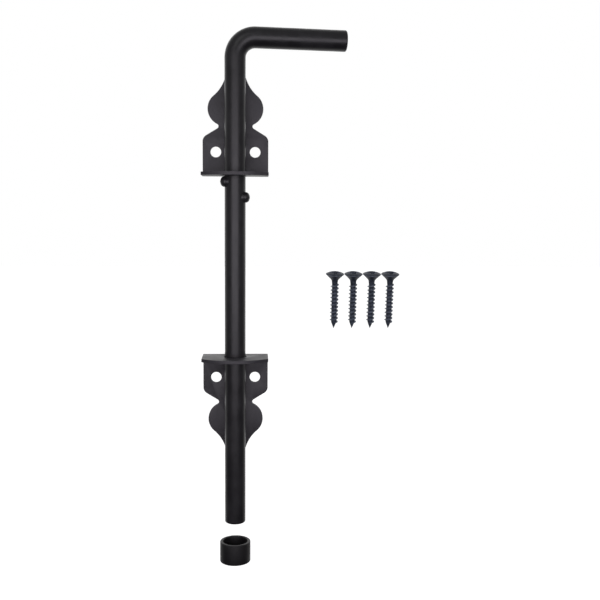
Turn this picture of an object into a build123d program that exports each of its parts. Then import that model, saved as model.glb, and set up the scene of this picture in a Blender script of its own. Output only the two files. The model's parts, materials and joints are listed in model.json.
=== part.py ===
"""Cane bolt: an L-shaped drop rod in two sheet steel brackets, with its ground sleeve and screws.

The frame: X runs along the gate, Y into the gate and Z up. The origin is on the back face of the
lower bracket, midway between its two screw holes. The rod is drawn raised, with its upper stop stud
against the upper bracket.
"""

from build123d import *
from math import cos, radians, sin, tan
import os

# Driving dimensions, in millimetres and degrees

# The rod
rod_diameter = 12.7
rod_height = 303.7  # from the tip to the top of the bend
handle_reach = 67.6  # from the shank's axis to the end of the handle
bend_radius = 12.3  # at the rod's centre
handle_droop = 0.4  # the bend turns this much past a right angle
handle_swing = 5.0  # the handle leans towards the gate by this angle
tip_below_screws = 89.3
rod_end_chamfer = 0.7

# The stop studs
stud_diameter = 6.4
stud_centre_radius = 6.2  # from the rod's axis to the centre of the dome
stud_spacing = 9.4  # from the upper stud down to the lower one
stud_forward_angle = 20.0  # each stud sits this far forward of the rod's side
stud_seat_gap = 0.05
stop_gap = 0.3  # between the upper stud and the flange it stops against

# The brackets
bracket_width = 40.4
sheet = 2.0
bend_outside_radius = 3.5
flange_depth = 31.1  # from the back of the plate to the front of the flange
flange_side = 23.3  # where the straight sides end and the front arc begins
flange_corner_radius = 1.2
rod_standoff = 13.0  # from the back of the plate to the rod's axis
guide_hole_diameter = 13.9
screw_hole_diameter = 6.6
screw_hole_spacing = 24.2
screw_hole_height = 15.1  # above the flange's outer face
bracket_distance = 110.2  # between the outer faces of the two flanges

# The finial outline of the plate, with heights above the flange's outer face
shoulder_angle = 31.5  # above the horizontal
shoulder_corner_radius = 4.4
waist_radius = 1.6
lobe_radius = 10.3
lobe_centre_x = 6.8
lobe_centre_height = 41.5
lobe_start_angle = -82.0
lobe_end_angle = 50.0
flank_radius = 22.0
flank_turn = 30.0
nose_radius = 3.2

# The ground sleeve
sleeve_outside = 19.0
sleeve_inside = 15.2
sleeve_height = 12.8
sleeve_below_tip = 12.3
sleeve_edge = 0.4

# The screws, lying loose with raised heads: the last crest touches the plane of the plates' backs
screw_count = 4
screw_pitch = 11.5  # between neighbouring screws
first_screw_x = 61.6
screw_point_z = 31.0
screw_tilt = 11.4  # the heads come forward by this angle
screw_length = 36.9
head_diameter = 11.3
head_dome = 1.4
head_cone = 3.6
head_edge = 0.25
core_diameter = 3.4
neck_diameter = 3.9
neck_taper = 1.0  # the length over which the neck narrows to the core
thread_diameter = 5.2
thread_pitch = 2.42
first_crest = 8.25  # below the top of the head
crest_count = 11
crest_width = 0.3
crest_foot = 1.1  # the ridge's width where it meets the core
point_length = 3.8
recess_span = 5.8
recess_wing = 1.5
recess_depth = 2.9
recess_taper = 8.0

# How far a corner may lie from the height or depth that picks it out
pick_tolerance = 0.05

# Values worked out from the driving dimensions
rod_radius = rod_diameter / 2
tip_z = -tip_below_screws
lower_flange_z = screw_hole_height
upper_flange_z = lower_flange_z + bracket_distance
upper_stud_z = upper_flange_z - stop_gap - stud_diameter / 2
lower_stud_z = upper_stud_z - stud_spacing
sleeve_bottom_z = tip_z - sleeve_below_tip - sleeve_height


def rod_plane(z):
    """A level plane centred on the rod's axis."""
    return Plane(origin=(0, -rod_standoff, z))


def along_y(distance):
    """The narrow band along Y that picks out one row of corners or edges."""
    return Axis.Y, distance - pick_tolerance, distance + pick_tolerance


def save(piece, name):
    """Label a finished piece and write it as its own STEP file."""
    piece.part.label = name
    export_step(piece.part, f"parts/{name}.step")


# The rod: one round bar, a straight shank bent once into a handle


def make_rod():
    swing = radians(handle_swing)
    handle_plane = Plane(
        origin=(0, -rod_standoff, tip_z),
        x_dir=(cos(swing), sin(swing), 0),
        z_dir=(sin(swing), -cos(swing), 0),
    )
    corner_height = rod_height - rod_radius
    end_height = corner_height - handle_reach * tan(radians(handle_droop))
    with BuildPart() as rod:
        with BuildLine(handle_plane):
            FilletPolyline(
                (0, 0),
                (0, corner_height),
                (handle_reach, end_height),
                radius=bend_radius,
            )
        with BuildSketch(rod_plane(tip_z)):
            Circle(rod_radius)
        sweep()
        flat_ends = rod.faces().filter_by(GeomType.PLANE)
        chamfer(flat_ends.edges(), rod_end_chamfer)
    return rod


# A domed stop stud, seated on the rod's left side (side -1) or right side (side 1)


def make_stud(side, z):
    forward = radians(stud_forward_angle)
    across = side * stud_centre_radius * cos(forward)
    outward = -rod_standoff - stud_centre_radius * sin(forward)
    with BuildPart() as stud:
        with Locations((across, outward, z)):
            Sphere(stud_diameter / 2)
        with BuildSketch(rod_plane(z - stud_diameter)):
            Circle(rod_radius + stud_seat_gap)
        extrude(amount=2 * stud_diameter, mode=Mode.SUBTRACT)
    return stud


# A bracket: the same pressing is used flange down (up = 1) and flange up (up = -1)


def make_bracket(flange_z, up):
    half_width = bracket_width / 2
    waist_angle = radians(lobe_start_angle)
    waist_x = lobe_centre_x + lobe_radius * cos(waist_angle)
    waist_height = lobe_centre_height + lobe_radius * sin(waist_angle)
    shoulder_height = waist_height - (half_width - waist_x) * tan(radians(shoulder_angle))
    lean = lobe_end_angle - flank_turn
    back_plane = Plane(origin=(0, 0, flange_z), x_dir=(up, 0, 0), z_dir=(0, -1, 0))
    flange_plane = Plane(origin=(0, 0, flange_z), x_dir=(up, 0, 0), z_dir=(0, 0, up))
    with BuildPart() as bracket:
        with BuildSketch(back_plane) as plate:
            with BuildLine():
                lobe = CenterArc(
                    (lobe_centre_x, lobe_centre_height),
                    lobe_radius,
                    lobe_start_angle,
                    lobe_end_angle - lobe_start_angle,
                )
                Polyline(
                    (0, 0),
                    (half_width, 0),
                    (half_width, shoulder_height),
                    (waist_x, waist_height),
                )
                flank = JernArc(lobe @ 1, lobe % 1, flank_radius, -flank_turn)
                nose_start_x = nose_radius * cos(radians(lean))
                nose_run = ((flank @ 1).X - nose_start_x) / sin(radians(lean))
                nose_side = Line(flank @ 1, flank @ 1 + flank % 1 * nose_run)
                JernArc(nose_side @ 1, nose_side % 1, nose_radius, 90 - lean)
                mirror(about=Plane.YZ)
            make_face()
            shoulders = plate.vertices().filter_by_position(*along_y(shoulder_height))
            fillet(shoulders, shoulder_corner_radius)
            waists = plate.vertices().filter_by_position(*along_y(waist_height))
            fillet(waists, waist_radius)
            with Locations((0, screw_hole_height)):
                with GridLocations(screw_hole_spacing, 0, 2, 1):
                    Circle(screw_hole_diameter / 2, mode=Mode.SUBTRACT)
        extrude(amount=sheet)
        with BuildSketch(flange_plane) as flange:
            with BuildLine():
                Polyline(
                    (half_width, -flange_side),
                    (half_width, 0),
                    (-half_width, 0),
                    (-half_width, -flange_side),
                )
                ThreePointArc(
                    (-half_width, -flange_side), (0, -flange_depth), (half_width, -flange_side)
                )
            make_face()
            front_corners = flange.vertices().group_by(Axis.Y)[0]
            fillet(front_corners, flange_corner_radius)
            with Locations((0, -rod_standoff)):
                Circle(guide_hole_diameter / 2, mode=Mode.SUBTRACT)
        extrude(amount=sheet)
        long_edges = bracket.edges().filter_by(Axis.X).filter_by(GeomType.LINE)
        inside_edge = long_edges.filter_by_position(*along_y(-sheet))
        fillet(inside_edge, bend_outside_radius - sheet)
        outer_corner = Vector(0, 0, flange_z)
        outside_edge = bracket.edges().filter_by(Axis.X).sort_by_distance(outer_corner)[0]
        fillet(outside_edge, bend_outside_radius)
    return bracket


# The ground sleeve: a short open tube with its edges broken


def make_sleeve():
    with BuildPart() as sleeve:
        with BuildSketch(rod_plane(sleeve_bottom_z)):
            Circle(sleeve_outside / 2)
            Circle(sleeve_inside / 2, mode=Mode.SUBTRACT)
        extrude(amount=sleeve_height)
        chamfer(sleeve.edges().filter_by(GeomType.CIRCLE), sleeve_edge)
    return sleeve


# A wood screw: raised countersunk head, cross recess, and thread crests turned on the core


def make_screw(x):
    head_radius = head_diameter / 2
    neck_radius = neck_diameter / 2
    core_radius = core_diameter / 2
    crest_radius = thread_diameter / 2
    rim_depth = head_dome + head_edge
    cone_end = -rim_depth - head_cone
    last_crest = first_crest + (crest_count - 1) * thread_pitch + crest_width / 2
    tilt = radians(screw_tilt)
    top_y = -last_crest * sin(tilt) - crest_radius * cos(tilt)
    top = (x, top_y, screw_point_z + screw_length * cos(tilt))
    upward = (0, -sin(tilt), cos(tilt))
    axis_plane = Plane(origin=top, x_dir=(1, 0, 0), z_dir=(0, -cos(tilt), -sin(tilt)))
    shank = [(neck_radius, cone_end), (core_radius, cone_end - neck_taper)]
    for turn in range(crest_count):
        crest = -first_crest - turn * thread_pitch
        shank += [
            (core_radius, crest + crest_foot / 2),
            (crest_radius, crest + crest_width / 2),
            (crest_radius, crest - crest_width / 2),
            (core_radius, crest - crest_foot / 2),
        ]
    with BuildPart() as screw:
        with BuildSketch(axis_plane):
            with BuildLine():
                TangentArc((0, 0), (head_radius, -head_dome), tangent=(1, 0))
                Polyline(
                    (head_radius, -head_dome),
                    (head_radius, -rim_depth),
                    *shank,
                    (core_radius, point_length - screw_length),
                    (0, -screw_length),
                    (0, 0),
                )
            make_face()
        revolve(axis=Axis(top, upward))
        with BuildSketch(Plane(origin=top, x_dir=(1, 0, 0), z_dir=upward)):
            Rectangle(recess_span, recess_wing)
            Rectangle(recess_wing, recess_span)
        extrude(amount=-recess_depth, taper=recess_taper, mode=Mode.SUBTRACT)
    return screw


os.makedirs("parts", exist_ok=True)

save(make_rod(), "cane_rod")
save(make_stud(-1, upper_stud_z), "upper_stop_stud")
save(make_stud(1, lower_stud_z), "lower_stop_stud")
save(make_bracket(upper_flange_z, 1), "upper_bracket")
save(make_bracket(lower_flange_z, -1), "lower_bracket")
save(make_sleeve(), "ground_sleeve")
for number in range(screw_count):
    save(make_screw(first_screw_x + number * screw_pitch), f"screw_{number + 1}")
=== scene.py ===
"""Looks of a cane bolt: powder coated rod and brackets, ground sleeve and blackened wood screws."""

import json
import math

import bmesh
import bpy
from mathutils import Matrix, Vector


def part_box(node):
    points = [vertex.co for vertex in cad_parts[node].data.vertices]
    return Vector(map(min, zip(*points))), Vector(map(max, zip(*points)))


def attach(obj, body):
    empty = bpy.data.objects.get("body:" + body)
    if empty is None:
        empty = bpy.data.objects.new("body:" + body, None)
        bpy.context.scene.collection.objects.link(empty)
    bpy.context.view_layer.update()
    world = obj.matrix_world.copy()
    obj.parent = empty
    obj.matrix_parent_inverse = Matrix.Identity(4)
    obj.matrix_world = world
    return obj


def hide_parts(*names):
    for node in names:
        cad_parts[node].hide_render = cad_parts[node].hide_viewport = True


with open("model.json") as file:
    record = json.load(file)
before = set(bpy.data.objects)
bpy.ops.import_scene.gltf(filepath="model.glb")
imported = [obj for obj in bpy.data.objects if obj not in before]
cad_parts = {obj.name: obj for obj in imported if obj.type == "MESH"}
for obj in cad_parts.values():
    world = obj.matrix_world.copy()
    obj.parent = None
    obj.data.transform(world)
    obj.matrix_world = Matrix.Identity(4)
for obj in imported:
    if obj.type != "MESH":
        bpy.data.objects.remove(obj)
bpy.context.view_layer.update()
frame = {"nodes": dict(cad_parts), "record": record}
bodies = frame["record"]["behaviour"]["bodies"]
body_of = {node: body for body, nodes in bodies.items() for node in nodes}

MM = 0.001
SCREWS = [f"screw_{number}" for number in range(1, 5)]
BRACKETS = ["upper_bracket", "lower_bracket"]
STUDS = ["upper_stop_stud", "lower_stop_stud"]

# The camera: where its lens stands in the model's frame (mm), and how far it turns (degrees)
LENS_PLACE = (12.0, -541.8, 101.4)
LENS_YAW = 3.0
LENS_PITCH = 4.76
LENS_ROLL = 0.33
SENSOR = 36.0
FOCAL_OVER_SENSOR = 1.442
FRAME_SHIFT = -0.02  # upwards, as a share of the frame's width

# The paper floor: its reach (m), and how far it lies under the tip of the lowered bolt (mm)
FLOOR_REACH = 4.0
FLOOR_GAP = 10.0
FLOOR_ROUGHNESS = 0.9
FLOOR_GLOW = 0.7

# The light tent's light from behind (along Y) and from above (along Z): the least and the most of
# it, and the two components of a direction between which it grows from the one to the other
TENT_BEHIND = (0.0, 0.95, 0.1, 1.0)
TENT_ABOVE = (0.03, 0.24, -0.45, 0.1)

# The powder coat: the sizes (mm) of slow changes in its thickness, of its orange peel and grain,
# and of the streaks that are rubbed along a bar, which are 25 times as long as they are wide
COAT_CLOUD = 9.0
COAT_PEEL = 0.9
COAT_GRAIN = 0.28
COAT_STREAK = 1.6
STREAK_STRETCH = (1.0, 1.0, 0.04)
STREAK_FROM, STREAK_TO = 0.5, 0.75  # the noise values between which a streak fades in
COAT_RELIEF = 0.03  # mm
COAT_BUMP = 0.35
COAT_LEAST_EDGE = 0.35  # the smallest share of the thin film and painted edge highlight along an edge
COAT_CLOUD_SHARE = 0.22  # the largest share of the thin film's colour on a face
COAT_SMOOTHER = 0.05  # how far the roughness falls below its middle value
COAT_ROUGHER = 0.06  # how far it rises above it

# The phosphate skin: the sizes (mm) of its mottle and of its crystals, which are really about
# 0.02 mm across and are drawn some ten times as coarse, so that they show
SKIN_MOTTLE = 1.4
SKIN_CRYSTAL = 0.22
SKIN_RELIEF = 0.02  # mm
SKIN_BUMP = 0.4
SKIN_LEAST_EDGE = 0.2  # the smallest share of the burnished colour and painted edge highlight along an edge
SKIN_SMOOTH, SKIN_ROUGH = 0.38, 0.5  # between these its roughness varies
SKIN_METALLIC = 0.25

# A Mix node's sockets for its two colours and for the one that comes out
COLOUR_A, COLOUR_B, COLOUR_OUT = 6, 7, 2

# How many sides a turned piece or a round bar has
ROUND_SIDES = 96
STUD_SIDES = 48

# The rod (mm, degrees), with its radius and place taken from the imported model
HANDLE_REACH = 67.6
BEND_RADIUS = 12.3
BEND_STEPS = 32
HANDLE_DROOP = 0.4
HANDLE_SWING = 5.0
DROP_TRAVEL = 68.0
ROD_EDGE = 0.9  # radius of the rounded rim of an end face
ROD_EDGE_STEPS = 8
END_FLAT_INSET = 1.5  # where the flat of an end face stops, in edge radii from the bar's side
END_CROWN = 0.01  # how far that flat stands proud, so that the path's points stay apart

# The stop studs (mm, degrees): short domes that lean forward of the rod's side
STUD_RADIUS = 3.2
STUD_RISE = 9.4  # from the rod's axis to the top of the stud
STUD_EDGE = 2.1  # radius of the rounded shoulder
STUD_EDGE_SWEEP = 82  # how far the shoulder turns from the side towards the top
STUD_EDGE_STEPS = 6
STUD_CROWN = 0.45  # from the shoulder to the top
CROWN_MIDWAY = (0.5, 0.2)  # halfway to the shoulder, the top has fallen by a fifth of the crown
STUD_FORWARD = 20.0  # from the rod's side towards its front
STUD_ROOT = 2.4  # how deep the stud ends under the rod's surface

# The weld collar: its width, and its outline as shares of that width and depths (mm) under the
# rod's surface
WELD_WIDTH = 0.7
WELD_OUTLINE = ((0.0, 0.2), (0.35, 1.0), (1.0, 2.2))

# The brackets (mm, degrees): their edges are rounded by shearing, tumbling and paint
SHEARED_EDGE = 0.24
SHEARED_EDGE_SEGMENTS = 3
SHEARED_EDGE_BEND = 35.0  # an edge that bends more than this is rounded
SAME_POINT = 0.002  # points that lie nearer than this are one
SAME_PLANE = 1.0  # faces that bend less than this are one

# The ground sleeve (mm)
SLEEVE_WALL = 1.9
SLEEVE_EDGE = 0.55

# The screws (mm, degrees), measured down from the top of the head
SCREW_LENGTH = 36.9
SCREW_TILT = 11.4  # the heads lean forward
SCREW_CREASE = 38.0  # an edge that bends more than this looks sharp
HEAD_RADIUS = 5.65
HEAD_DOME = 1.4
HEAD_RIM = 0.25
HEAD_CONE = 3.6
DOME_RINGS = 44
RIM_TOP_BREAK = (0.1, 0.04)  # how far the rim's upper edge is broken, inwards and down
RIM_FOOT_BREAK = (0.12, 0.1)
NECK_RADIUS = 1.95
NECK_LENGTH = 1.0
NECK_FOOT = (0.05, 0.6)  # the neck's taper ends this far outside the core and above the first crest
THROAT_WIDTH = 1.3  # how far outside the neck the cone starts to curve into it
THROAT_RUN = 0.9  # how far down the neck that curve reaches
THROAT_STEPS = 6
CORE_RADIUS = 1.7
POINT_LENGTH = 4.1
POINT_SHOULDER = (0.5, 0.2)  # the stretch above and below the start of the point that eases into it
POINT_SHOULDER_SHARE = 0.93
TIP_BLUNT = 0.12

# The cross recess (mm)
RECESS_REACH = 3.3
RECESS_HALF_WING = 1.1
RECESS_DEPTH = 2.6
RECESS_WALL = (0.15, 0.12)  # how far a wing's wall leans inside and outside its half width
RECESS_END_SLOPE = 0.3  # the share of a wing's reach over which its floor rises to its end
SOCKET_FLOOR_RADIUS = 1.7
SOCKET_MOUTH_RADIUS = 2.5
SOCKET_DEPTH_SHARE = 0.9

# The thread (mm, turns)
CREST_RADIUS = 2.6
THREAD_PITCH = 2.42
FIRST_CREST = 8.25
CREST_COUNT = 11
CREST_WIDTH = 0.22
RIDGE_FOOT = 1.25
RIDGE_SUNK = 0.12  # how deep the ridge's foot lies in the core
RUN_OUT = 0.4  # how many turns the ridge takes to rise and to fade
STEPS_IN_TURN = 40


def linear(hex_colour):
    """An sRGB hex colour as linear RGBA."""
    channels = [int(hex_colour[i : i + 2], 16) / 255 for i in (1, 3, 5)]
    return [c / 12.92 if c <= 0.04045 else ((c + 0.055) / 1.055) ** 2.4 for c in channels] + [1.0]


def add(tree, kind, inputs=None, **settings):
    """Add a node with its settings, and set each input to a value or link it to a socket."""
    node = tree.nodes.new(kind)
    for name, value in settings.items():
        setattr(node, name, value)
    for name, value in (inputs or {}).items():
        if isinstance(value, bpy.types.NodeSocket):
            tree.links.new(value, node.inputs[name])
        else:
            node.inputs[name].default_value = value
    return node


def spread(value, low, high, start=0.3, end=0.7):
    """What a Map Range node is given to spread a value, such as noise, from low to high."""
    return {"Value": value, "From Min": start, "From Max": end, "To Min": low, "To Max": high}


def smooth_step(low, high, value):
    """0 up to low, 1 from high on, and a smooth rise between them."""
    t = min(max((value - low) / (high - low), 0.0), 1.0)
    return t * t * (3 - 2 * t)


# Camera, stage and light


def make_camera():
    """A normal lens at a height between the two brackets, looking slightly down."""
    data = bpy.data.cameras.new("camera")
    data.sensor_width = SENSOR
    data.lens = FOCAL_OVER_SENSOR * SENSOR
    data.shift_y = FRAME_SHIFT
    camera = bpy.data.objects.new("camera", data)
    yaw = Matrix.Rotation(math.radians(-LENS_YAW), 4, "Z")
    upright = Matrix.Rotation(math.radians(90 - LENS_PITCH), 4, "X")
    lean = Matrix.Rotation(math.radians(LENS_ROLL), 4, "Z")
    camera.matrix_world = Matrix.Translation(Vector(LENS_PLACE) * MM) @ yaw @ upright @ lean
    bpy.context.scene.collection.objects.link(camera)
    bpy.context.scene.camera = camera


def make_floor(height):
    """Seamless white paper, lit so evenly that it leaves no horizon."""
    mesh = bpy.data.meshes.new("floor")
    around = ((-1, -1), (1, -1), (1, 1), (-1, 1))
    corners = [(x * FLOOR_REACH, y * FLOOR_REACH, height) for x, y in around]
    mesh.from_pydata(corners, [], [(0, 1, 2, 3)])
    floor = bpy.data.objects.new("floor", mesh)
    bpy.context.scene.collection.objects.link(floor)
    paper = bpy.data.materials.new("seamless_paper")
    paper.use_nodes = True
    shader = paper.node_tree.nodes["Principled BSDF"]
    shader.inputs["Base Color"].default_value = linear("#f4f4f4")
    shader.inputs["Roughness"].default_value = FLOOR_ROUGHNESS
    shader.inputs["Emission Color"].default_value = linear("#ffffff")
    shader.inputs["Emission Strength"].default_value = FLOOR_GLOW
    mesh.materials.append(paper)
    floor.visible_glossy = False
    floor.visible_diffuse = False
    floor.visible_shadow = False


def make_tent():
    """White light tent: bright behind the object, dim in front and below, plain white to the eye."""
    world = bpy.data.worlds.new("light_tent")
    bpy.context.scene.world = world
    world.use_nodes = True
    tree = world.node_tree
    tree.nodes.clear()
    way = add(tree, "ShaderNodeTexCoord").outputs["Generated"]
    split = add(tree, "ShaderNodeSeparateXYZ", {"Vector": way})
    smooth = {"interpolation_type": "SMOOTHSTEP"}
    from_behind = spread(split.outputs["Y"], *TENT_BEHIND)
    behind = add(tree, "ShaderNodeMapRange", from_behind, **smooth).outputs[0]
    from_above = spread(split.outputs["Z"], *TENT_ABOVE)
    above = add(tree, "ShaderNodeMapRange", from_above, **smooth).outputs[0]
    both = add(tree, "ShaderNodeMath", {0: behind, 1: above}, operation="ADD").outputs[0]
    felt = add(tree, "ShaderNodeBackground", {"Color": (1, 1, 1, 1), "Strength": both})
    seen = add(tree, "ShaderNodeBackground", {"Color": (1, 1, 1, 1), "Strength": 1.0})
    eye = add(tree, "ShaderNodeLightPath").outputs["Is Camera Ray"]
    mix = add(tree, "ShaderNodeMixShader", {"Fac": eye, 1: felt.outputs[0], 2: seen.outputs[0]})
    add(tree, "ShaderNodeOutputWorld", {"Surface": mix.outputs[0]})


def make_softbox(name, place, aim, width, height, radiance, tint="#ffffff"):
    """A flat white panel whose face has the given radiance, with its sizes and places in metres."""
    data = bpy.data.lights.new(name, "AREA")
    data.shape = "RECTANGLE"
    data.size = width
    data.size_y = height
    data.energy = radiance * width * height * math.pi
    data.color = linear(tint)[:3]
    light = bpy.data.objects.new(name, data)
    way = Vector(aim) - Vector(place)
    turn = way.to_track_quat("-Z", "Y").to_matrix().to_4x4()
    light.matrix_world = Matrix.Translation(place) @ turn
    light.visible_camera = False
    bpy.context.scene.collection.objects.link(light)


bpy.context.scene.view_settings.view_transform = "Standard"
make_camera()
make_floor(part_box("cane_rod")[0].z - (DROP_TRAVEL + FLOOR_GAP) * MM)
make_tent()
make_softbox(
    "top_front_softbox",
    place=(-0.25, -0.8, 0.75),
    aim=(0.0, 0.0, 0.1),
    width=0.5,
    height=0.5,
    radiance=0.8,
)
make_softbox(
    "lens_level_softbox",
    place=(0.0, -0.62, 0.06),
    aim=(0.0, 0.0, 0.06),
    width=0.9,
    height=0.38,
    radiance=1.9,
    tint="#fbf5ff",
)


# Finishes


def surface_noise(tree, place, size, detail=2.0, stretch=(1.0, 1.0, 1.0)):
    """Cloudy noise with features of the given size in mm, stretched along an axis if asked."""
    scaled = add(tree, "ShaderNodeMapping", {"Vector": place, "Scale": stretch}).outputs[0]
    pattern = {"Vector": scaled, "Scale": 1 / (size * MM), "Detail": detail}
    return add(tree, "ShaderNodeTexNoise", pattern).outputs[0]


def powder_coat(name, film, thin_film_and_highlight, roughness, rub=0.0):
    """Polyester powder coat, sprayed dry and baked on steel.

    It flows into a satin film with a fine orange peel. The film pulls thin on sharp edges, and the
    edges are painted lighter than the faces, partly for that thin film and partly as a painted
    highlight along them. Where it is rubbed in streaks along a bar, it is smoother by the given
    amount.
    """
    material = bpy.data.materials.new(name)
    material.use_nodes = True
    tree = material.node_tree
    shader = tree.nodes["Principled BSDF"]
    place = add(tree, "ShaderNodeTexCoord").outputs["Object"]
    edge = add(tree, "ShaderNodeAttribute", attribute_name="edge").outputs["Fac"]
    cloud = surface_noise(tree, place, COAT_CLOUD, detail=3.0)
    peel = surface_noise(tree, place, COAT_PEEL)
    grain = surface_noise(tree, place, COAT_GRAIN)
    streaks = surface_noise(tree, place, COAT_STREAK, stretch=STREAK_STRETCH)

    # Edges take the lighter film colour: a thin coat there and a painted highlight along them
    broken = add(tree, "ShaderNodeMapRange", spread(cloud, COAT_LEAST_EDGE, 1.0)).outputs[0]
    thin_and_lit = add(tree, "ShaderNodeMath", {0: edge, 1: broken}, operation="MULTIPLY").outputs[0]
    clouded = add(tree, "ShaderNodeMapRange", spread(cloud, 0.0, COAT_CLOUD_SHARE)).outputs[0]
    share = add(tree, "ShaderNodeMath", {0: thin_and_lit, 1: clouded}, operation="ADD", use_clamp=True)
    colours = {"Factor": share.outputs[0], COLOUR_A: linear(film), COLOUR_B: linear(thin_film_and_highlight)}
    colour = add(tree, "ShaderNodeMix", colours, data_type="RGBA").outputs[COLOUR_OUT]
    tree.links.new(colour, shader.inputs["Base Color"])

    dullness = spread(cloud, roughness - COAT_SMOOTHER, roughness + COAT_ROUGHER)
    dull = add(tree, "ShaderNodeMapRange", dullness).outputs[0]
    rubbing = spread(streaks, 0.0, -rub, STREAK_FROM, STREAK_TO)
    rubbed = add(tree, "ShaderNodeMapRange", rubbing).outputs[0]
    rough = add(tree, "ShaderNodeMath", {0: dull, 1: rubbed}, operation="ADD").outputs[0]
    tree.links.new(rough, shader.inputs["Roughness"])

    height = add(tree, "ShaderNodeMath", {0: peel, 1: grain}, operation="ADD").outputs[0]
    relief = {"Height": height, "Strength": COAT_BUMP, "Distance": COAT_RELIEF * MM}
    bump = add(tree, "ShaderNodeBump", relief).outputs[0]
    tree.links.new(bump, shader.inputs["Normal"])
    shader.inputs["IOR"].default_value = 1.5
    return material


def black_phosphate(dark, light, burnish_and_highlight):
    """Black phosphated and oiled steel, as on drywall and wood screws.

    The crystals make a matt blue-black skin with a fine grain. The crests and the rim of the head
    are painted lighter, partly for burnishing by thread rolling and handling and partly as a painted
    highlight.
    """
    material = bpy.data.materials.new("black_phosphated_steel")
    material.use_nodes = True
    tree = material.node_tree
    shader = tree.nodes["Principled BSDF"]
    place = add(tree, "ShaderNodeTexCoord").outputs["Object"]
    edge = add(tree, "ShaderNodeAttribute", attribute_name="edge").outputs["Fac"]
    mottle = surface_noise(tree, place, SKIN_MOTTLE, detail=3.0)
    crystals = surface_noise(tree, place, SKIN_CRYSTAL)

    # Crests and head rim take the light colour: burnish and painted highlight
    broken = add(tree, "ShaderNodeMapRange", spread(mottle, SKIN_LEAST_EDGE, 1.0)).outputs[0]
    worn_and_lit = add(tree, "ShaderNodeMath", {0: edge, 1: broken}, operation="MULTIPLY").outputs[0]
    mottled = add(tree, "ShaderNodeMapRange", spread(mottle, 0.0, 1.0)).outputs[0]
    greys = {"Factor": mottled, COLOUR_A: linear(dark), COLOUR_B: linear(light)}
    skin = add(tree, "ShaderNodeMix", greys, data_type="RGBA").outputs[COLOUR_OUT]
    colours = {"Factor": worn_and_lit, COLOUR_A: skin, COLOUR_B: linear(burnish_and_highlight)}
    colour = add(tree, "ShaderNodeMix", colours, data_type="RGBA").outputs[COLOUR_OUT]
    tree.links.new(colour, shader.inputs["Base Color"])

    dullness = spread(crystals, SKIN_SMOOTH, SKIN_ROUGH)
    dull = add(tree, "ShaderNodeMapRange", dullness).outputs[0]
    tree.links.new(dull, shader.inputs["Roughness"])
    relief = {"Height": crystals, "Strength": SKIN_BUMP, "Distance": SKIN_RELIEF * MM}
    bump = add(tree, "ShaderNodeBump", relief).outputs[0]
    tree.links.new(bump, shader.inputs["Normal"])
    shader.inputs["Metallic"].default_value = SKIN_METALLIC
    return material


# Each coat's second colour goes on its edges: thin film and painted edge highlight
rod_coat = powder_coat("powder_coated_bar", "#1b1a1d", "#3a393c", roughness=0.36, rub=0.05)
bracket_coat = powder_coat("powder_coated_sheet", "#2a282d", "#4b494e", roughness=0.47)
sleeve_coat = powder_coat("powder_coated_tube", "#0d0c0e", "#19181a", roughness=0.5)
# the light edge colour is part burnish, part painted highlight
screw_skin = black_phosphate(dark="#232934", light="#323a48", burnish_and_highlight="#7d8594")


# Shaping helpers


def mark_edges(mesh, sharpest=40.0):
    """Store how sharply each point is bent, from 0 to 1, as the mask for lighter edges: part real,
    part painted highlight.
    """
    shape = bmesh.new()
    shape.from_mesh(mesh)
    bends = []
    for vert in shape.verts:
        angles = [edge.calc_face_angle(0.0) for edge in vert.link_edges]
        bends.append(min(max(angles, default=0.0) / math.radians(sharpest), 1.0))
    shape.free()
    attribute = mesh.attributes.new("edge", "FLOAT", "POINT")
    attribute.data.foreach_set("value", bends)


def finish_piece(name, mesh, coat, crease=50.0):
    """Turn a finished mesh into a shown piece that stands for the CAD node of the same name."""
    mark_edges(mesh)
    mesh.shade_smooth()
    mesh.set_sharp_from_angle(angle=math.radians(crease))
    mesh.materials.clear()
    mesh.materials.append(coat)
    piece = bpy.data.objects.new(f"{name}_finished", mesh)
    bpy.context.scene.collection.objects.link(piece)
    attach(piece, body_of[name])
    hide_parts(name)


def plain_mesh(source):
    """The evaluated mesh of an object with modifiers. The object itself is removed."""
    graph = bpy.context.evaluated_depsgraph_get()
    mesh = bpy.data.meshes.new_from_object(source.evaluated_get(graph))
    bpy.data.objects.remove(source)
    return mesh


def new_tree(name, inputs, output):
    """A Geometry Nodes tree with inputs named by their labels, and one mesh that comes out."""
    tree = bpy.data.node_groups.new(name, "GeometryNodeTree")
    for label, kind in inputs.items():
        tree.interface.new_socket(label, in_out="INPUT", socket_type=f"NodeSocket{kind}")
    tree.interface.new_socket(output, in_out="OUTPUT", socket_type="NodeSocketGeometry")
    return tree


def use_tree(piece, tree, values):
    """Put a node tree on a piece, with its named inputs set."""
    modifier = piece.modifiers.new(tree.name, "NODES")
    modifier.node_group = tree
    for socket in tree.interface.items_tree:
        if socket.name in values:
            modifier[socket.identifier] = values[socket.name]


def lathe(name, profile, sides):
    """Turn a closed or axis-to-axis profile of (radius, height) about Z. Radius 0 makes a pole."""
    shape = bmesh.new()
    turns = [2 * math.pi * side / sides for side in range(sides)]
    rings = []
    for radius, height in profile:
        if radius == 0:
            rings.append([shape.verts.new((0, 0, height))] * sides)
            continue
        ring = [(radius * math.cos(turn), radius * math.sin(turn), height) for turn in turns]
        rings.append([shape.verts.new(point) for point in ring])
    pairs = list(zip(rings, rings[1:]))
    if profile[0][0] > 0:
        pairs.append((rings[-1], rings[0]))
    for upper, lower in pairs:
        for side in range(sides):
            after = (side + 1) % sides
            corners = [upper[side], lower[side], lower[after], upper[after]]
            shape.faces.new(dict.fromkeys(corners))
    bmesh.ops.recalc_face_normals(shape, faces=shape.faces)
    mesh = bpy.data.meshes.new(name)
    shape.to_mesh(mesh)
    shape.free()
    return mesh


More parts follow.
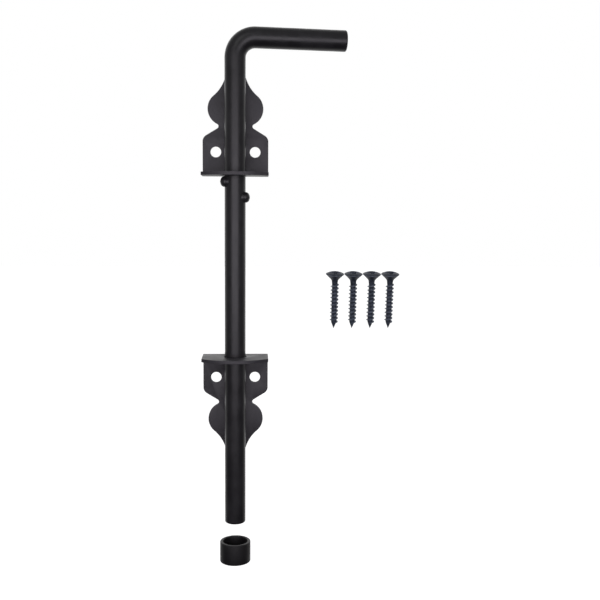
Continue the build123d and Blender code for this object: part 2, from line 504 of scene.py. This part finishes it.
def rounded_corner(centre, radius, start, end, steps=5):
    """Points of an arc from start to end degrees, for a profile."""
    angles = [math.radians(start + (end - start) * step / steps) for step in range(steps + 1)]
    return [(centre[0] + radius * math.cos(a), centre[1] + radius * math.sin(a)) for a in angles]


# The rod: a bar swept along its bent centre line


def bar_along_path():
    """Node tree: sweep a round bar along the mesh's chain of edges."""
    inputs = {"Path": "Geometry", "Bar radius": "Float", "Sides": "Int", "Coat": "Material"}
    tree = new_tree("bar_along_path", inputs, "Bar")
    given = add(tree, "NodeGroupInput").outputs
    share = add(tree, "GeometryNodeInputNamedAttribute", {"Name": "radius_share"}).outputs[0]
    line = add(tree, "GeometryNodeMeshToCurve", {"Mesh": given["Path"]}).outputs[0]
    circle = {"Radius": given["Bar radius"], "Resolution": given["Sides"]}
    section = add(tree, "GeometryNodeCurvePrimitiveCircle", circle).outputs[0]
    sweep = {"Curve": line, "Profile Curve": section, "Scale": share, "Fill Caps": True}
    bar = add(tree, "GeometryNodeCurveToMesh", sweep).outputs[0]
    real = add(tree, "GeometryNodeRealizeInstances", {"Geometry": bar}).outputs[0]
    finish = {"Geometry": real, "Material": given["Coat"]}
    coated = add(tree, "GeometryNodeSetMaterial", finish).outputs[0]
    add(tree, "NodeGroupOutput", {"Bar": coated})
    return tree


def make_rod():
    """The shank, the bend and the handle in one sweep, with the rims of both end faces rounded."""
    low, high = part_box("cane_rod")
    radius = -low.x
    axis = Vector((0, low.y + radius, 0))
    swing = math.radians(HANDLE_SWING)
    along = Vector((math.cos(swing), math.sin(swing), 0))
    droop = math.radians(HANDLE_DROOP)
    length = HANDLE_REACH * MM / math.cos(droop)
    corner = high.z - radius
    bend = BEND_RADIUS * MM
    turn = math.pi / 2 + droop
    bend_centre = axis + along * bend + Vector((0, 0, corner - bend * math.tan(turn / 2)))
    edge = ROD_EDGE * MM

    # Distance back from an end face and the bar's radius there, from the middle of the face out
    rounding = [(0.0, radius - END_FLAT_INSET * edge)]
    for step in range(ROD_EDGE_STEPS + 1):
        lean = math.pi / 2 * step / ROD_EDGE_STEPS
        back = END_CROWN * MM + edge * (1 - math.cos(lean))
        rounding.append((back, radius - edge * (1 - math.sin(lean))))

    points = []
    shares = []
    for back, size in rounding:
        points.append(axis + Vector((0, 0, low.z + back)))
        shares.append(size / radius)
    for step in range(BEND_STEPS + 1):
        lean = turn * step / BEND_STEPS
        rise = Vector((0, 0, bend * math.sin(lean)))
        points.append(bend_centre - along * bend * math.cos(lean) + rise)
        shares.append(1.0)
    for back, size in reversed(rounding):
        out = length - back
        level = Vector((0, 0, corner - out * math.sin(droop)))
        points.append(axis + along * out * math.cos(droop) + level)
        shares.append(size / radius)

    path = bpy.data.meshes.new("rod_path")
    path.from_pydata(points, [(i, i + 1) for i in range(len(points) - 1)], [])
    path.attributes.new("radius_share", "FLOAT", "POINT").data.foreach_set("value", shares)
    source = bpy.data.objects.new("rod_path", path)
    bpy.context.scene.collection.objects.link(source)
    values = {"Bar radius": radius, "Sides": ROUND_SIDES, "Coat": rod_coat}
    use_tree(source, bar_along_path(), values)
    finish_piece("cane_rod", plain_mesh(source), rod_coat)


# The stop studs


def make_stud(name, side):
    """A domed boss welded to the rod's left side (-1) or right side (1), with a thin weld collar."""
    rod_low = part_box("cane_rod")[0]
    rod_radius = -rod_low.x / MM
    low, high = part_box(name)
    face_radius = STUD_RADIUS - STUD_EDGE
    shoulder = STUD_RISE - STUD_CROWN - STUD_EDGE
    across, fall = CROWN_MIDWAY
    profile = [(0, STUD_RISE), (across * face_radius, STUD_RISE - fall * STUD_CROWN)]
    edge = rounded_corner((face_radius, shoulder), STUD_EDGE, 0, STUD_EDGE_SWEEP, STUD_EDGE_STEPS)
    profile += reversed(edge)
    for share, depth in WELD_OUTLINE:
        profile.append((STUD_RADIUS + share * WELD_WIDTH, rod_radius - depth))
    profile.append((0, rod_radius - STUD_ROOT))
    mesh = lathe(name, profile, STUD_SIDES)
    forward = math.radians(STUD_FORWARD)
    outward = Vector((side * math.cos(forward), -math.sin(forward), 0))
    turn = outward.to_track_quat("Z", "Y").to_matrix().to_4x4()
    axis = Vector((0, rod_low.y - rod_low.x, (low.z + high.z) / 2))
    mesh.transform(Matrix.Translation(axis) @ turn @ Matrix.Scale(MM, 4))
    finish_piece(name, mesh, rod_coat)


# The brackets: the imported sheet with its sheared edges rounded


def make_bracket(name):
    """The bracket's own faces, merged into whole ones so that only the true edges are rounded."""
    shape = bmesh.new()
    shape.from_mesh(frame["nodes"][name].data)
    bmesh.ops.remove_doubles(shape, verts=shape.verts, dist=SAME_POINT * MM)
    bmesh.ops.dissolve_limit(
        shape,
        angle_limit=math.radians(SAME_PLANE),
        verts=shape.verts,
        edges=shape.edges,
        delimit=set(),
    )
    mesh = bpy.data.meshes.new(name)
    shape.to_mesh(mesh)
    shape.free()
    source = bpy.data.objects.new(name, mesh)
    bpy.context.scene.collection.objects.link(source)
    bevel = source.modifiers.new("sheared_edge", "BEVEL")
    bevel.width = SHEARED_EDGE * MM
    bevel.segments = SHEARED_EDGE_SEGMENTS
    bevel.limit_method = "ANGLE"
    bevel.angle_limit = math.radians(SHEARED_EDGE_BEND)
    weighted = source.modifiers.new("flat_faces", "WEIGHTED_NORMAL")
    weighted.keep_sharp = True
    finish_piece(name, plain_mesh(source), bracket_coat)


# The ground sleeve: a length of tube with its sawn ends rounded


def make_sleeve():
    """A turned tube between the ends of its CAD solid."""
    low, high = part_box("ground_sleeve")
    outer = (high.x - low.x) / 2 / MM
    inner = outer - SLEEVE_WALL
    edge = SLEEVE_EDGE
    bottom = low.z / MM + edge
    top = high.z / MM - edge
    profile = rounded_corner((outer - edge, top), edge, 90, 0)
    profile += rounded_corner((outer - edge, bottom), edge, 0, -90)
    profile += rounded_corner((inner + edge, bottom), edge, -90, -180)
    profile += rounded_corner((inner + edge, top), edge, 180, 90)
    mesh = lathe("ground_sleeve", profile, ROUND_SIDES)
    axis = Matrix.Translation((0, (low.y + high.y) / 2, 0))
    mesh.transform(axis @ Matrix.Scale(MM, 4))
    finish_piece("ground_sleeve", mesh, sleeve_coat)


# The wood screws: turned head and core, stamped recess and rolled thread


def thread_on_core():
    """Node tree: add a right-handed helical ridge, tapered at both ends, to a turned screw body."""
    sizes = (
        "Turns",
        "Helix height",
        "Helix radius",
        "Helix bottom",
        "Start angle",
        "Ridge height",
        "Foot width",
        "Crest width",
        "Run out",
    )
    inputs = {"Body": "Geometry", **dict.fromkeys(sizes, "Float"), "Steel": "Material"}
    tree = new_tree("thread_on_core", inputs, "Screw")
    given = add(tree, "NodeGroupInput").outputs

    # The helix: reversing the spiral makes it right-handed, and its normals keep the ridge upright
    spiral = {
        "Resolution": STEPS_IN_TURN,
        "Rotations": given["Turns"],
        "Start Radius": given["Helix radius"],
        "End Radius": given["Helix radius"],
        "Height": given["Helix height"],
        "Reverse": True,
    }
    coil = add(tree, "GeometryNodeCurveSpiral", spiral).outputs[0]
    lift = add(tree, "ShaderNodeCombineXYZ", {"Z": given["Helix bottom"]}).outputs[0]
    spin = add(tree, "ShaderNodeCombineXYZ", {"Z": given["Start angle"]}).outputs[0]
    placing = {"Geometry": coil, "Translation": lift, "Rotation": spin}
    helix = add(tree, "GeometryNodeTransform", placing).outputs[0]
    level = add(tree, "GeometryNodeSetCurveNormal", {"Curve": helix}, mode="Z_UP").outputs[0]

    # How much of the ridge's full size stands at each point along the helix
    smooth = {"interpolation_type": "SMOOTHSTEP"}
    place = add(tree, "GeometryNodeSplineParameter").outputs["Factor"]
    rising = spread(place, 0.0, 1.0, 0.0, given["Run out"])
    start = add(tree, "ShaderNodeMapRange", rising, **smooth).outputs[0]
    remainder = {0: 1.0, 1: given["Run out"]}
    fade_from = add(tree, "ShaderNodeMath", remainder, operation="SUBTRACT").outputs[0]
    falling = spread(place, 1.0, 0.0, fade_from, 1.0)
    end = add(tree, "ShaderNodeMapRange", falling, **smooth).outputs[0]
    share = add(tree, "ShaderNodeMath", {0: start, 1: end}, operation="MULTIPLY").outputs[0]

    # The ridge's section, with its foot on the helix and its crest outwards
    trapezoid = {
        "Height": given["Ridge height"],
        "Bottom Width": given["Foot width"],
        "Top Width": given["Crest width"],
        "Offset": 0.0,
    }
    ridge = add(tree, "GeometryNodeCurvePrimitiveQuadrilateral", trapezoid, mode="TRAPEZOID")
    halving = {0: given["Ridge height"], 1: 0.5}
    half = add(tree, "ShaderNodeMath", halving, operation="MULTIPLY").outputs[0]
    out = add(tree, "ShaderNodeCombineXYZ", {"X": half}).outputs[0]
    facing = {
        "Geometry": ridge.outputs[0],
        "Translation": out,
        "Rotation": (0.0, 0.0, -math.pi / 2),
    }
    section = add(tree, "GeometryNodeTransform", facing).outputs[0]

    sweep = {"Curve": level, "Profile Curve": section, "Scale": share, "Fill Caps": True}
    thread = add(tree, "GeometryNodeCurveToMesh", sweep).outputs[0]
    joined = add(tree, "GeometryNodeJoinGeometry")
    tree.links.new(thread, joined.inputs[0])
    tree.links.new(given["Body"], joined.inputs[0])
    real = add(tree, "GeometryNodeRealizeInstances", {"Geometry": joined.outputs[0]}).outputs[0]
    finish = {"Geometry": real, "Material": given["Steel"]}
    steel = add(tree, "GeometryNodeSetMaterial", finish).outputs[0]
    add(tree, "NodeGroupOutput", {"Screw": steel})
    return tree


def recess_depth(x, y):
    """Depth of the cross recess below the dome: two crossed wings round a tapered socket."""
    inside, outside = RECESS_WALL
    wings = 0.0
    for along, across in ((abs(x), abs(y)), (abs(y), abs(x))):
        wall = 1 - smooth_step(RECESS_HALF_WING - inside, RECESS_HALF_WING + outside, across)
        floor = min((RECESS_REACH - along) / (RECESS_END_SLOPE * RECESS_REACH), 1.0)
        wings = max(wings, wall * max(floor, 0.0))
    socket = 1 - smooth_step(SOCKET_FLOOR_RADIUS, SOCKET_MOUTH_RADIUS, math.hypot(x, y))
    return RECESS_DEPTH * max(wings, SOCKET_DEPTH_SHARE * socket)


def screw_body():
    """The turned head, neck, core and point in mm, with the recess pressed into the dome."""
    dome_radius = (HEAD_RADIUS**2 + HEAD_DOME**2) / (2 * HEAD_DOME)
    break_in, break_down = RIM_TOP_BREAK
    profile = [(0, 0)]
    for ring in range(1, DOME_RINGS + 1):
        out = (HEAD_RADIUS - break_in) * ring / DOME_RINGS
        profile.append((out, math.sqrt(dome_radius**2 - out * out) - dome_radius))

    rim = -HEAD_DOME - HEAD_RIM
    foot_in, foot_down = RIM_FOOT_BREAK
    profile += [
        (HEAD_RADIUS, -HEAD_DOME - break_down),
        (HEAD_RADIUS, rim),
        (HEAD_RADIUS - foot_in, rim - foot_down),
    ]

    # The cone curves into the neck
    cone_end = rim - HEAD_CONE
    slope = HEAD_CONE / (HEAD_RADIUS - NECK_RADIUS)
    for step in range(THROAT_STEPS + 1):
        t = step / THROAT_STEPS
        out = THROAT_WIDTH * (1 - t) ** 2
        profile.append((NECK_RADIUS + out, cone_end + slope * out - THROAT_RUN * t * t))

    foot_out, foot_up = NECK_FOOT
    point = POINT_LENGTH - SCREW_LENGTH
    shoulder_above, shoulder_below = POINT_SHOULDER
    profile += [
        (NECK_RADIUS, cone_end - NECK_LENGTH),
        (CORE_RADIUS + foot_out, foot_up - FIRST_CREST),
        (CORE_RADIUS, -FIRST_CREST),
        (CORE_RADIUS, point + shoulder_above),
        (CORE_RADIUS * POINT_SHOULDER_SHARE, point - shoulder_below),
        (TIP_BLUNT, TIP_BLUNT - SCREW_LENGTH),
        (0, -SCREW_LENGTH),
    ]
    mesh = lathe("screw_body", profile, ROUND_SIDES)
    for vert in mesh.vertices:
        if vert.co.z > -HEAD_DOME:
            vert.co.z -= recess_depth(vert.co.x, vert.co.y)
    return mesh


def make_screws():
    """Four alike screws, each tilted and placed by the box of its CAD solid."""
    tree = thread_on_core()
    turns = CREST_COUNT - 1 + 2 * RUN_OUT
    last_crest = FIRST_CREST + (CREST_COUNT - 1) * THREAD_PITCH
    values = {
        "Turns": turns,
        "Helix height": turns * THREAD_PITCH,
        "Helix radius": CORE_RADIUS - RIDGE_SUNK,
        "Helix bottom": -last_crest - RUN_OUT * THREAD_PITCH,
        "Start angle": -2 * math.pi * RUN_OUT,
        "Ridge height": CREST_RADIUS - CORE_RADIUS + RIDGE_SUNK,
        "Foot width": RIDGE_FOOT,
        "Crest width": CREST_WIDTH,
        "Run out": RUN_OUT / turns,
        "Steel": screw_skin,
    }
    tilt = math.radians(SCREW_TILT)
    rim = HEAD_DOME + HEAD_RIM
    for name in SCREWS:
        source = bpy.data.objects.new(name, screw_body())
        bpy.context.scene.collection.objects.link(source)
        use_tree(source, tree, values)
        mesh = plain_mesh(source)
        low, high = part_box(name)
        top_x = (low.x + high.x) / 2
        top_y = low.y / MM + HEAD_RADIUS * math.cos(tilt) - rim * math.sin(tilt)
        top_z = low.z / MM + SCREW_LENGTH * math.cos(tilt)
        place = Matrix.Translation((top_x, top_y * MM, top_z * MM))
        mesh.transform(place @ Matrix.Rotation(tilt, 4, "X") @ Matrix.Scale(MM, 4))
        finish_piece(name, mesh, screw_skin, crease=SCREW_CREASE)


make_rod()
for stud, side in zip(STUDS, (-1, 1)):
    make_stud(stud, side)
for bracket in BRACKETS:
    make_bracket(bracket)
make_sleeve()
make_screws()
